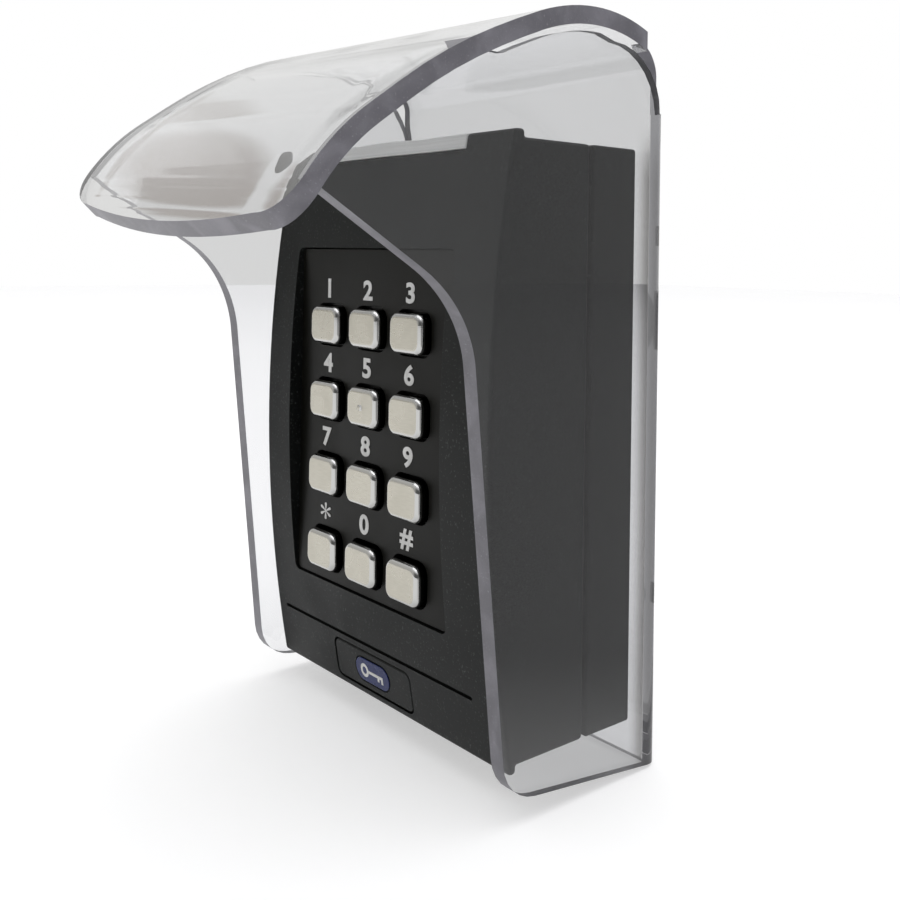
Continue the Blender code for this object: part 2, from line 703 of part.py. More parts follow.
def keypad_mat():
    """Silicone sheet with a rim and a dome under every key."""
    look = material("keypad silicone", (0.10, 0.10, 0.10), 0.75)
    mat = block("keypad_mat", RECESS_WIDTH + 1 * MM, RECESS_HEIGHT + 1 * MM, MAT_BACK,
                MAT_RIM_FRONT, look, (FACE_SHIFT, 0))
    cut(mat, block("mat_pool", RECESS_WIDTH - 2 * MM, RECESS_HEIGHT - 2 * MM, MAT_WEB_FRONT,
                   MAT_RIM_FRONT + 1 * MM, centre=(FACE_SHIFT, 0)))
    for name, x, z in key_places():
        base, tip = circle(3.6 * MM, 16), circle(2.6 * MM, 16)
        dome = stack(f"mat_dome_{name}", [(MAT_BACK + 0.3 * MM, base), (DOME_FRONT, tip)],
                     centre=(x, z))
        add(mat, dome)
    return mat


# ---------------------------------------------------------------- electronics
def main_board():
    outline = rounded_rectangle(READER_WIDTH - 9 * MM, 2 * BODY_HALF - 13.8 * MM, 2 * MM, 4)
    board = slab("main_board", outline, BOARD_BACK, BOARD_FRONT, board_green())
    for sx in (-1, 1):
        for sz in (-1, 1):
            hole = slab(f"board_hole_{sx + 1}{sz + 1}", circle(1.4 * MM, 12),
                        BOARD_BACK - 1 * MM, BOARD_FRONT + 1 * MM,
                        centre=(sx * BOSS_X, sz * BOSS_Z))
            cut(board, hole)
    return board


def antenna_coil():
    """Flat winding around the keypad that talks to the card."""
    look = material("enamelled copper", (0.55, 0.22, 0.09), 0.35, metallic=1.0)
    width, height = RECESS_WIDTH + 8 * MM, RECESS_HEIGHT + 7.6 * MM
    winding = 3.0 * MM
    outline = rounded_rectangle(width + 2 * winding, height + 2 * winding, 4 * MM)
    coil = slab("antenna_coil", outline, BOARD_FRONT + FIT, BOARD_FRONT + 1.5 * MM, look)
    cut(coil, slab("coil_middle", rounded_rectangle(width, height, 2.5 * MM),
                   BOARD_FRONT, BOARD_FRONT + 2 * MM))
    return coil


def board_parts():
    dark = material("moulded component", (0.02, 0.02, 0.022), 0.45)
    lamp = material("indicator lamp", (0.80, 0.80, 0.76), 0.25)
    for x, name in ((-9, "left"), (0, "centre"), (9, "right")):
        block(f"indicator_led_{name}", 3.0 * MM, 2.4 * MM, BOARD_FRONT + FIT,
              BOARD_FRONT + 1.3 * MM, lamp, centre=(x * MM, BODY_HALF - 9.1 * MM))
    sounder = slab("sounder", circle(6.0 * MM, 28), PARTS_BACK - 5 * MM, PARTS_BACK, dark,
                   centre=(-22 * MM, -14 * MM))
    cut(sounder, slab("sounder_port", circle(1.0 * MM, 12), PARTS_BACK - 6 * MM,
                      PARTS_BACK - 3 * MM, centre=(-22 * MM, -14 * MM)))
    chip = block("controller_chip", 12 * MM, 12 * MM, PARTS_BACK - 1.4 * MM, PARTS_BACK, dark,
                 centre=(12 * MM, -12 * MM))
    soften(chip, 0.2 * MM, 1)
    terminal_block()


def terminal_block():
    """Ten-way screw connector for the cable's cores."""
    look = material("connector green", (0.03, 0.22, 0.10), 0.50)
    centre = (0, 4 * MM)
    housing = block("terminal_block", 40 * MM, 8 * MM, PARTS_BACK - 9 * MM, PARTS_BACK, look,
                    centre=centre)
    for way in range(10):
        x = (way - 4.5) * 3.81 * MM
        well = slab(f"terminal_well_{way}", circle(1.35 * MM, 12), PARTS_BACK - 10 * MM,
                    PARTS_BACK - 6 * MM, centre=(x, centre[1]))
        cut(housing, well)
    return housing


def cable_grommet():
    """Rubber bush that seals the cable's way in through hood and frame."""
    rim_back = FRAME_BACK + 2.4 * MM + FIT
    inner = circle(3.3 * MM)
    neck = circle(CABLE_HOLE - FIT)
    rim = circle(CABLE_HOLE + 1.8 * MM)
    grommet = stack("cable_grommet",
                    [(FIT, neck), (rim_back, neck), (rim_back, rim), (rim_back + 1.6 * MM, rim)],
                    black_rubber(), (0, CABLE_Z))
    cut(grommet, slab("grommet_bore", inner, -1 * MM, 20 * MM, centre=(0, CABLE_Z)))
    return grommet


# ---------------------------------------------------------------- fasteners
def cross_recess(target, name, x, z, head, size):
    """Cross-shaped driver recess in a screw head that faces forward or back."""
    for angle in (0, 90):
        arm = block(f"{name}_{angle}", size, size * 0.28, *head)
        arm.location = (x, 0, z)
        arm.rotation_euler = (0, math.radians(angle), 0)
        cut(target, arm)


def wall_screws():
    head_back = FRAME_BACK + 2.4 * MM + FIT
    for side, name in ((-1, "bottom"), (1, "top")):
        z = side * WALL_SCREW_Z
        shank, head, crown = circle(2.0 * MM), circle(3.9 * MM), circle(2.9 * MM)
        screw = stack(f"wall_screw_{name}",
                      [(FIT, shank), (head_back, shank), (head_back, head),
                       (head_back + 1.6 * MM, head), (head_back + 2.4 * MM, crown)],
                      screw_steel(), (0, z))
        cross_recess(screw, f"wall_screw_{name}_slot", 0, z,
                     (head_back + 1.2 * MM, head_back + 4 * MM), 4.4 * MM)


def board_screws():
    """Four pan-head screws that hold the board to the cover's bosses."""
    under = BOARD_BACK - FIT
    for sx, side in ((-1, "left"), (1, "right")):
        for sz, level in ((-1, "bottom"), (1, "top")):
            x, z = sx * BOSS_X, sz * BOSS_Z
            shank, head, crown = circle(1.1 * MM, 12), circle(2.4 * MM, 16), circle(1.7 * MM, 16)
            head_layers = [(under - 1.6 * MM, crown), (under - 1.1 * MM, head), (under, head)]
            name = f"board_screw_{level}_{side}"
            screw = stack(name, head_layers, screw_steel(), (x, z))
            add(screw, slab(f"{name}_shank", shank, under - 0.6 * MM, BOARD_FRONT + 2.9 * MM,
                            centre=(x, z)))
            cross_recess(screw, f"{name}_slot", x, z, (under - 3 * MM, under - 0.9 * MM), 2.6 * MM)


def security_screw():
    """Tamper screw that runs up through the cover into the frame's lug."""
    low = -BODY_HALF
    steps = 20
    profile = [(2.7 * MM, low - 0.1 * MM), (2.7 * MM, low + 1.0 * MM), (1.4 * MM, low + 1.0 * MM),
               (1.4 * MM, low + 7.6 * MM)]
    rings = []
    for radius, z in profile:
        rings.append([(x, y - SECURITY_DEPTH, z) for x, y in circle(radius, steps)])
    screw = loft("security_screw", rings, screw_steel())
    socket = upright_cylinder("security_socket", 1.3 * MM, low - 2 * MM, low + 0.6 * MM,
                              SECURITY_DEPTH, steps=6)
    cut(screw, socket)
    cut(socket, upright_cylinder("security_pin", 0.45 * MM, low - 3 * MM, low + 1 * MM,
                                 SECURITY_DEPTH, steps=10))
    return screw


def build():
    for old in list(bpy.data.objects):
        bpy.data.objects.remove(old, do_unlink=True)
    weather_hood()
    mounting_frame()
    body_gasket()
    front_cover()
    light_bar()
    badge_plate()
    badge_emblem()
    keypad_plate()
    keys()
    keypad_mat()
    main_board()
    antenna_coil()
    board_parts()
    cable_grommet()
    wall_screws()
    board_screws()
    security_screw()


build()
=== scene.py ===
"""Keypad card reader under a clear weather hood: finishes, light and camera.

X runs to the reader's right, Z is up, the wall is the plane Y = 0 and the reader
faces -Y.  Lengths are in metres unless multiplied by MM.
"""
import math

import bmesh
import bpy
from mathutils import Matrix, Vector
from mathutils.bvhtree import BVHTree


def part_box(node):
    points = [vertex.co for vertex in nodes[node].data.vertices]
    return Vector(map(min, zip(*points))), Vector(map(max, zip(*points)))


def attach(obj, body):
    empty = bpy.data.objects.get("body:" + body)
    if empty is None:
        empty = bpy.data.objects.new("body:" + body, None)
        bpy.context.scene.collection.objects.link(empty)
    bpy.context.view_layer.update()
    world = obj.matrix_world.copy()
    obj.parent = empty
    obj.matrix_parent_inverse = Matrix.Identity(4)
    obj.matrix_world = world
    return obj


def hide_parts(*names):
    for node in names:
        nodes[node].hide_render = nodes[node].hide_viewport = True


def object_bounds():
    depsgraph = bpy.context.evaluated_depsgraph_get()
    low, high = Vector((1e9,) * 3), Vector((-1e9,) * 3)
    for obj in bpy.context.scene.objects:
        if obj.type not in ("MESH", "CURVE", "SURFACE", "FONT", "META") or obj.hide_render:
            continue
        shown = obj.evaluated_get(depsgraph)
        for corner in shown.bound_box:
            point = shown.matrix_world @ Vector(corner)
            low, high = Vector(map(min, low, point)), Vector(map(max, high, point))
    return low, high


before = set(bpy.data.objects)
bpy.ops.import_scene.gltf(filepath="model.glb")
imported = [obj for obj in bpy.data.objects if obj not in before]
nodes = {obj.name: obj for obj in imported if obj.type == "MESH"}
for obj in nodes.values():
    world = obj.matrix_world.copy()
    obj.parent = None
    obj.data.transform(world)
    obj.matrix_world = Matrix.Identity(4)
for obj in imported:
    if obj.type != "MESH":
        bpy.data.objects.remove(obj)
MM = 0.001
cad_box = [list(corner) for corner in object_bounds()]


# ---------------------------------------------------------------- studio
# Plain pale floor under the hood's feet, a white surround that is darker to the
# right and behind the camera, and one soft box overhead.
scene = bpy.context.scene
scene.view_settings.view_transform = "Standard"
scene.view_settings.look = "None"


def connect(material, *links):
    """Join node sockets given as (node, output, node, input)."""
    for source, output, target, entry in links:
        material.node_tree.links.new(source.outputs[output], target.inputs[entry])


def finish(name, roughness, **settings):
    """A new Principled material with its uniform values on its own sockets."""
    made = bpy.data.materials.new(name)
    made.use_nodes = True
    shader = made.node_tree.nodes["Principled BSDF"]
    shader.inputs["Roughness"].default_value = roughness
    for socket, value in settings.items():
        shader.inputs[socket.replace("_", " ")].default_value = value
    return made, made.node_tree.nodes, shader


def soft_step(kit, start, end, top=1.0):
    """A smooth ramp from 0 to top as its Value goes from start to end."""
    made = kit.new("ShaderNodeMapRange")
    made.interpolation_type = "SMOOTHSTEP"
    made.inputs["From Min"].default_value = start
    made.inputs["From Max"].default_value = end
    made.inputs["To Max"].default_value = top
    return made


def maths(kit, operation, second=None):
    """One step of arithmetic; its second number may be a fixed one."""
    made = kit.new("ShaderNodeMath")
    made.operation = operation
    if second is not None:
        made.inputs[1].default_value = second
    return made


def noise(kit, scale, detail=2.0):
    """Cloudy noise of a given fineness."""
    made = kit.new("ShaderNodeTexNoise")
    made.inputs["Scale"].default_value = scale
    made.inputs["Detail"].default_value = detail
    return made


def floor():
    """Pale paint that glows a little of its own, a painted fill light that keeps its
    shadow pale; in mirror images its colour and glow are painted darker to the right, a
    painted dark reflection.
    """
    size = 3.0
    z = cad_box[0][2] - 0.3 * MM
    mesh = bpy.data.meshes.new("studio_floor")
    mesh.from_pydata(
        [(-size, -size, z), (size, -size, z), (size, size, z), (-size, size, z)],
        [], [(0, 1, 2, 3)])
    made = bpy.data.objects.new("studio_floor", mesh)
    scene.collection.objects.link(made)
    paint, kit, shader = finish(
        "pale floor", 0.8, Specular_IOR_Level=0.1, Emission_Strength=0.50)
    shader.inputs["Emission Color"].default_value = (1.0, 1.0, 1.0, 1)
    grain = noise(kit, 30.0)
    tone = kit.new("ShaderNodeValToRGB")
    tone.color_ramp.elements[0].color = (0.53, 0.53, 0.53, 1)
    tone.color_ramp.elements[1].color = (0.56, 0.56, 0.56, 1)
    place = kit.new("ShaderNodeNewGeometry")
    across = kit.new("ShaderNodeVectorMath")
    across.operation = "DOT_PRODUCT"
    across.inputs[1].default_value = (0.72, 0.69, 0)
    right = soft_step(kit, -0.02, 0.10, 0.72)
    path = kit.new("ShaderNodeLightPath")
    painted_reflection_mask = maths(kit, "MULTIPLY")
    painted_dark_reflection = kit.new("ShaderNodeMix")
    painted_dark_reflection.data_type = "RGBA"
    # Painted dark reflection: seen by glossy rays, the floor's colour turns near black
    # towards the right.
    painted_dark_reflection.inputs["B"].default_value = (0.02, 0.02, 0.02, 1)
    # Painted fill light: the floor glows, so the shadow on it stays pale; less so in
    # mirror images.
    painted_fill_glow = kit.new("ShaderNodeMapRange")
    painted_fill_glow.inputs["To Min"].default_value = 0.50
    painted_fill_glow.inputs["To Max"].default_value = 0.10
    connect(
        paint,
        (grain, "Fac", tone, "Fac"),
        (tone, "Color", painted_dark_reflection, "A"),
        (place, "Position", across, 0),
        (across, "Value", right, "Value"),
        (right, "Result", painted_reflection_mask, 0),
        (path, "Is Glossy Ray", painted_reflection_mask, 1),
        (painted_reflection_mask, 0, painted_dark_reflection, "Factor"),
        (painted_dark_reflection, "Result", shader, "Base Color"),
        (painted_reflection_mask, 0, painted_fill_glow, "Value"),
        (painted_fill_glow, "Result", shader, "Emission Strength"))
    mesh.materials.append(paint)


def surround():
    """White backdrop and ceiling; darker to the right and behind the camera."""
    world = bpy.data.worlds.new("studio surround")
    scene.world = world
    world.use_nodes = True
    kit = world.node_tree.nodes
    link = world.node_tree.links.new
    way = kit.new("ShaderNodeTexCoord")

    def wall(name, facing, start, end, colour, below):
        """Blend a wall's colour over what is below it, by direction."""
        lean = kit.new("ShaderNodeVectorMath")
        lean.operation = "DOT_PRODUCT"
        lean.inputs[1].default_value = Vector(facing).normalized()
        link(way.outputs["Generated"], lean.inputs[0])
        reach = soft_step(kit, start, end)
        link(lean.outputs["Value"], reach.inputs["Value"])
        mix = kit.new("ShaderNodeMix")
        mix.data_type = "RGBA"
        mix.label = name
        link(reach.outputs["Result"], mix.inputs["Factor"])
        if isinstance(below, tuple):
            mix.inputs["A"].default_value = below
        else:
            link(below, mix.inputs["A"])
        mix.inputs["B"].default_value = colour
        return mix.outputs["Result"]

    room = wall("left wall", (-0.8, -0.6, 0), -0.1, 0.6, (0.66, 0.65, 0.62, 1),
                (0.24, 0.24, 0.25, 1))
    room = wall("camera side", (0.72, -0.68, 0), 0.35, 0.9, (0.14, 0.14, 0.14, 1), room)
    room = wall("rear right", (0.7, 0.7, 0), 0.5, 0.85, (0.40, 0.40, 0.40, 1), room)
    room = wall("window", (0.95, 0.28, 0.1), 0.984, 0.994, (3.2, 3.2, 3.2, 1), room)
    room = wall("ceiling", (0, 0.15, 1), 0.3, 0.8, (1.0, 1.0, 1.03, 1), room)
    room = wall("backdrop", (-0.72, 0.70, 0), 0.35, 0.72, (0.84, 0.84, 0.83, 1), room)
    room = wall("brown doorway", (-0.912, 0.398, 0.094), 0.9972, 0.9990,
                (0.42, 0.38, 0.35, 1), room)
    path = kit.new("ShaderNodeLightPath")
    mix = kit.new("ShaderNodeMix")
    mix.data_type = "RGBA"
    link(path.outputs["Is Camera Ray"], mix.inputs["Factor"])
    link(room, mix.inputs["A"])
    mix.inputs["B"].default_value = (1, 1, 1, 1)
    link(mix.outputs["Result"], kit["Background"].inputs["Color"])


def soft_box(name, place, aim, width, height, watts):
    """A rectangular lamp that looks at a point."""
    light = bpy.data.lights.new(name, "AREA")
    light.shape = "RECTANGLE"
    light.size = width
    light.size_y = height
    light.energy = watts
    lamp = bpy.data.objects.new(name, light)
    lamp.location = place
    looks = Vector(aim) - Vector(place)
    lamp.rotation_euler = looks.to_track_quat("-Z", "Y").to_euler()
    scene.collection.objects.link(lamp)


floor()
surround()
soft_box("soft_box_ceiling", (0, -0.1, 1.5), (0, 0, 0), 1.8, 1.8, 15.0)

# The eye stands a little above the middle of the reader and well to its right; the
# lens is shifted instead of tilted, so upright edges stay nearly upright.
camera = bpy.data.objects.new("camera", bpy.data.cameras.new("camera"))
camera.location = (0.195679, -0.166657, 0.036580)
camera.rotation_euler = [math.radians(a) for a in (90.7144, -0.8695, 47.4568)]
camera.data.sensor_width = 36.0
camera.data.lens = 42.316
camera.data.shift_x = -0.11862
camera.data.shift_y = -0.22879
camera.data.clip_start = 0.01
scene.collection.objects.link(camera)
scene.camera = camera


# ---------------------------------------------------------------- weather hood
# One sheet of clear polycarbonate, folded at the sides and bent over the top.
# Its faces keep their mill polish; its edges are sawn and left rough.
SHEET = 3.6 * MM                    # its thickness
CUT_DEPTH = 1.7 * SHEET             # material this deep behind a face: a sawn edge
LIP_FRONT = -60.0 * MM              # only the visor reaches further out
WELD_DISTANCE = 0.001 * MM
FLAT_ANGLE = math.radians(0.3)      # faces closer than this count as one flat


def shared_effect(name, inputs, outputs):
    """An empty shader node group with number sockets, and its two end nodes."""
    group = bpy.data.node_groups.new(name, "ShaderNodeTree")
    for side, sockets in (("INPUT", inputs), ("OUTPUT", outputs)):
        for socket in sockets:
            group.interface.new_socket(
                socket, in_out=side, socket_type="NodeSocketFloat")
    kit = group.nodes
    return group, kit, kit.new("NodeGroupInput"), kit.new("NodeGroupOutput")


def fine_grain():
    """Node group: close grain as a height and as a mask of its highest specks."""
    group, kit, entry, leave = shared_effect(
        "fine grain", ("Scale", "Speck Size"), ("Height", "Specks"))
    link = group.links.new
    place = kit.new("ShaderNodeTexCoord")
    grain = kit.new("ShaderNodeTexNoise")
    grain.inputs["Detail"].default_value = 3.0
    peaks = kit.new("ShaderNodeMapRange")
    peaks.inputs["From Max"].default_value = 0.78
    link(place.outputs["Object"], grain.inputs["Vector"])
    link(entry.outputs["Scale"], grain.inputs["Scale"])
    link(grain.outputs["Fac"], peaks.inputs["Value"])
    link(entry.outputs["Speck Size"], peaks.inputs["From Min"])
    link(grain.outputs["Fac"], leave.inputs["Height"])
    link(peaks.outputs["Result"], leave.inputs["Specks"])
    return group


def handling_marks():
    """Node group: broad smears left by hands and weather, as a soft mask."""
    group, kit, entry, leave = shared_effect(
        "handling marks", ("Scale", "Cover"), ("Mask",))
    link = group.links.new
    place = kit.new("ShaderNodeTexCoord")
    smear = kit.new("ShaderNodeTexNoise")
    smear.inputs["Detail"].default_value = 5.0
    smear.inputs["Distortion"].default_value = 0.6
    soft = soft_step(kit, 0.38, 0.72)
    strength = maths(kit, "MULTIPLY")
    link(place.outputs["Object"], smear.inputs["Vector"])
    link(entry.outputs["Scale"], smear.inputs["Scale"])
    link(smear.outputs["Fac"], soft.inputs["Value"])
    link(soft.outputs["Result"], strength.inputs[0])
    link(entry.outputs["Cover"], strength.inputs[1])
    link(strength.outputs[0], leave.inputs["Mask"])
    return group


def edge_wear():
    """Node group: a mask of rounded edges, where a surface is rubbed first."""
    group, kit, entry, leave = shared_effect(
        "edge wear", ("Radius", "Amount"), ("Mask",))
    link = group.links.new
    rounded = kit.new("ShaderNodeBevel")
    rounded.samples = 4
    own = kit.new("ShaderNodeNewGeometry")
    turn = kit.new("ShaderNodeVectorMath")
    turn.operation = "DOT_PRODUCT"
    wear = kit.new("ShaderNodeMapRange")
    wear.inputs["From Min"].default_value = 0.995
    wear.inputs["From Max"].default_value = 0.86
    breaks = noise(kit, 260.0)
    uneven = maths(kit, "MULTIPLY")
    strength = maths(kit, "MULTIPLY")
    link(entry.outputs["Radius"], rounded.inputs["Radius"])
    link(rounded.outputs["Normal"], turn.inputs[0])
    link(own.outputs["Normal"], turn.inputs[1])
    link(turn.outputs["Value"], wear.inputs["Value"])
    link(wear.outputs["Result"], uneven.inputs[0])
    link(breaks.outputs["Fac"], uneven.inputs[1])
    link(uneven.outputs[0], strength.inputs[0])
    link(entry.outputs["Amount"], strength.inputs[1])
    link(strength.outputs[0], leave.inputs["Mask"])
    return group


grain_group = fine_grain()
marks_group = handling_marks()
wear_group = edge_wear()


def place_group(kit, group, **values):
    """Put a shared effect into a material with this material's own values."""
    made = kit.new("ShaderNodeGroup")
    made.node_tree = group
    for socket, value in values.items():
        made.inputs[socket.replace("_", " ")].default_value = value
    return made


def between(kit, low, high, value="colour"):
    """A mix of two colours, or of two numbers, by its Factor."""
    made = kit.new("ShaderNodeMix")
    if value == "colour":
        made.data_type = "RGBA"
    made.inputs["A"].default_value = low
    made.inputs["B"].default_value = high
    return made


def relief(kit, strength, depth):
    """A bump of the given strength and depth, raised by its Height."""
    made = kit.new("ShaderNodeBump")
    made.inputs["Strength"].default_value = strength
    made.inputs["Distance"].default_value = depth
    return made


def clear_sheet():
    """Polished sheet with faint smears, and painted shade that greys it along its two
    folds.
    """
    made, kit, shader = finish(
        "clear polycarbonate", 0.02, IOR=1.58, Transmission_Weight=1.0)
    smears = place_group(kit, marks_group, Scale=28.0, Cover=1.0)
    polish = kit.new("ShaderNodeMapRange")
    polish.inputs["To Min"].default_value = 0.0
    polish.inputs["To Max"].default_value = 0.03
    place = kit.new("ShaderNodeTexCoord")
    parts = kit.new("ShaderNodeSeparateXYZ")
    side = maths(kit, "ABSOLUTE")
    # Painted shade darkens the sheet's colour in the folds, against the back plate and
    # below the visor's bend.
    fold = soft_step(kit, 40.0 * MM, 43.0 * MM)
    back = soft_step(kit, -6.5 * MM, -3.9 * MM)
    height = soft_step(kit, 66.0 * MM, 52.0 * MM)
    both = maths(kit, "MULTIPLY")
    painted_fold_shade = maths(kit, "MULTIPLY")
    # Painted shade: the clear sheet's colour turns mid grey along the side folds behind
    # the reader.
    shaded_sheet_tint = between(kit, (0.885, 0.888, 0.895, 1), (0.46, 0.455, 0.45, 1))
    # Heating the bends left shallow ripples along the bonded front corners.
    far = soft_step(kit, -52.0 * MM, -68.0 * MM)
    seam = soft_step(kit, 34.0 * MM, 44.0 * MM)
    heated = maths(kit, "MULTIPLY")
    ripple = noise(kit, 42.0, 2.0)
    bend = maths(kit, "MULTIPLY")
    bump = relief(kit, 0.2, 1.0 * MM)
    # A painted glow stands in for light caught inside the sheet, which leaves it a dull
    # grey: the sheet itself emits faintly, seen only by rays that have already bounced
    # three times.
    path = kit.new("ShaderNodeLightPath")
    painted_trapped_glow = kit.new("ShaderNodeMapRange")
    painted_trapped_glow.inputs["From Min"].default_value = 2.4
    painted_trapped_glow.inputs["From Max"].default_value = 2.6
    painted_trapped_glow.inputs["To Max"].default_value = 0.12
    shader.inputs["Emission Color"].default_value = (1.0, 1.0, 0.99, 1)
    absorb = kit.new("ShaderNodeVolumeAbsorption")
    absorb.inputs["Color"].default_value = (0.80, 0.80, 0.84, 1)
    absorb.inputs["Density"].default_value = 25.0
    connect(
        made,
        (smears, "Mask", polish, "Value"),
        (polish, "Result", shader, "Roughness"),
        (place, "Object", parts, "Vector"),
        (parts, "X", side, 0),
        (side, 0, fold, "Value"),
        (parts, "Y", back, "Value"),
        (parts, "Z", height, "Value"),
        (fold, "Result", both, 0),
        (back, "Result", both, 1),
        (both, 0, painted_fold_shade, 0),
        (height, "Result", painted_fold_shade, 1),
        (painted_fold_shade, 0, shaded_sheet_tint, "Factor"),
        (shaded_sheet_tint, "Result", shader, "Base Color"),
        (parts, "Y", far, "Value"),
        (side, 0, seam, "Value"),
        (far, "Result", heated, 0),
        (seam, "Result", heated, 1),
        (place, "Object", ripple, "Vector"),
        (ripple, "Fac", bend, 0),
        (heated, 0, bend, 1),
        (bend, 0, bump, "Height"),
        (bump, "Normal", shader, "Normal"),
        (path, "Glossy Depth", painted_trapped_glow, "Value"),
        (painted_trapped_glow, "Result", shader, "Emission Strength"),
        (absorb, "Volume", kit["Material Output"], "Volume"))
    return made


def sawn_edge():
    """The cut through the sheet: saw lines across it, flame-dulled and grey."""
    made, kit, shader = finish(
        "sawn polycarbonate edge", 0.42, IOR=1.58, Specular_IOR_Level=0.45)
    grain = place_group(kit, grain_group, Scale=2600.0, Speck_Size=0.62)
    marks = place_group(kit, marks_group, Scale=120.0, Cover=0.8)
    tone = between(kit, (0.105, 0.102, 0.118, 1), (0.185, 0.18, 0.205, 1))
    bright = between(kit, (0, 0, 0, 1), (0.24, 0.235, 0.26, 1))
    bump = relief(kit, 0.35, 0.08 * MM)
    connect(
        made,
        (marks, "Mask", tone, "Factor"),
        (tone, "Result", bright, "A"),
        (grain, "Specks", bright, "Factor"),
        (bright, "Result", shader, "Base Color"),
        (grain, "Height", bump, "Height"),
        (bump, "Normal", shader, "Normal"))
    return made


def welded(node):
    """The node's surface as one connected mesh, ready for detail work."""
    bm = bmesh.new()
    bm.from_mesh(nodes[node].data)
    bmesh.ops.remove_doubles(bm, verts=bm.verts, dist=WELD_DISTANCE)
    return bm


def round_and_shade(piece, width, angle=35, bias=100):
    """Ease the sharp edges; large faces keep a flat, undistorted shine."""
    piece.data.shade_smooth()
    ease = piece.modifiers.new("eased edges", "BEVEL")
    ease.width = width
    ease.segments = 2
    ease.limit_method = "ANGLE"
    ease.angle_limit = math.radians(angle)
    shine = piece.modifiers.new("even shine", "WEIGHTED_NORMAL")
    shine.weight = bias
    shine.mode = "FACE_AREA"


def detailed(node, bm, body, *looks):
    """Put a finished mesh in the node's place, riding on its body."""
    mesh = bpy.data.meshes.new(node + "_detail")
    bm.to_mesh(mesh)
    bm.free()
    piece = bpy.data.objects.new(node + "_detail", mesh)
    scene.collection.objects.link(piece)
    for look in looks:
        mesh.materials.append(look)
    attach(piece, body)
    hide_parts(node)
    return piece


def weather_hood():
    """Give sawn faces their own finish: there the sheet is deep behind the face."""
    bm = welded("weather_hood")
    bmesh.ops.triangulate(bm, faces=bm.faces)
    bmesh.ops.recalc_face_normals(bm, faces=bm.faces)
    sheet = BVHTree.FromBMesh(bm)
    for face in bm.faces:
        start = face.calc_center_median() - face.normal * 0.01 * MM
        reach = sheet.ray_cast(start, -face.normal)[3]
        faces_out = face.normal.y < -0.3 and face.normal.z < 0.3
        lip = faces_out and start.y < LIP_FRONT
        sawn = lip or (reach and reach > CUT_DEPTH)
        face.material_index = 1 if sawn else 0
    bmesh.ops.dissolve_limit(
        bm, angle_limit=FLAT_ANGLE, verts=bm.verts, edges=bm.edges,
        delimit={"MATERIAL"})
    piece = detailed("weather_hood", bm, "reader", clear_sheet(), sawn_edge())
    round_and_shade(piece, 0.4 * MM)


weather_hood()


# ---------------------------------------------------------------- moulded reader body
# Frame, front cover and badge plate are injection moulded in black ABS with a
# fine spark-eroded texture that catches the light as tiny specks.
def black_plastic():
    """Dark moulding: fine specks, handling marks and rubbed edges."""
    made, kit, shader = finish("black moulded plastic", 0.5, Specular_IOR_Level=0.16)
    grain = place_group(kit, grain_group, Scale=1900.0, Speck_Size=0.60)
    marks = place_group(kit, marks_group, Scale=34.0, Cover=1.0)
    wear = place_group(kit, wear_group, Radius=0.5 * MM, Amount=0.35)
    tone = between(kit, (0.0042, 0.0050, 0.0047, 1), (0.0070, 0.0080, 0.0076, 1))
    speck = between(kit, (0, 0, 0, 1), (0.055, 0.059, 0.057, 1))
    rubbed = between(kit, (0, 0, 0, 1), (0.030, 0.032, 0.032, 1))
    gloss = between(kit, 0.44, 0.56, "number")
    bump = relief(kit, 0.05, 0.04 * MM)
    connect(
        made,
        (marks, "Mask", tone, "Factor"),
        (tone, "Result", speck, "A"),
        (grain, "Specks", speck, "Factor"),
        (speck, "Result", rubbed, "A"),
        (wear, "Mask", rubbed, "Factor"),
        (rubbed, "Result", shader, "Base Color"),
        (marks, "Mask", gloss, "Factor"),
        (gloss, "Result", shader, "Roughness"),
        (grain, "Height", bump, "Height"),
        (bump, "Normal", shader, "Normal"))
    return made


def repaint(look, *names, rounded=0.15 * MM, angle=35, bias=100):
    """Give CAD nodes a finish, joined faces and softly rounded edges."""
    for name in names:
        node = nodes[name]
        node.data.materials.clear()
        node.data.materials.append(look)
        join = node.modifiers.new("joined faces", "WELD")
        join.merge_threshold = WELD_DISTANCE
        flat = node.modifiers.new("whole flats", "DECIMATE")
        flat.decimate_type = "DISSOLVE"
        flat.angle_limit = FLAT_ANGLE
        round_and_shade(node, rounded, angle, bias)


repaint(black_plastic(), "mounting_frame", "front_cover", "badge_plate",
        rounded=0.25 * MM)


# ---------------------------------------------------------------- light bar
# Milky acrylic bar along the top lip; its extrusion lines run across the reader.
def milky_acrylic():
    """White translucent plastic with long, thin extrusion lines."""
    made, kit, shader = finish("milky light guide", 0.3, Specular_IOR_Level=0.4)
    place = kit.new("ShaderNodeTexCoord")
    stretch = kit.new("ShaderNodeMapping")
    stretch.inputs["Scale"].default_value = (25.0, 700.0, 1500.0)
    lines = noise(kit, 1.0, 3.0)
    tone = between(kit, (0.54, 0.545, 0.53, 1), (0.90, 0.905, 0.885, 1))
    bump = relief(kit, 0.2, 0.05 * MM)
    connect(
        made,
        (place, "Object", stretch, "Vector"),
        (stretch, "Vector", lines, "Vector"),
        (lines, "Fac", tone, "Factor"),
        (tone, "Result", shader, "Base Color"),
        (lines, "Fac", bump, "Height"),
        (bump, "Normal", shader, "Normal"))
    return made


repaint(milky_acrylic(), "light_bar", rounded=0.2 * MM)


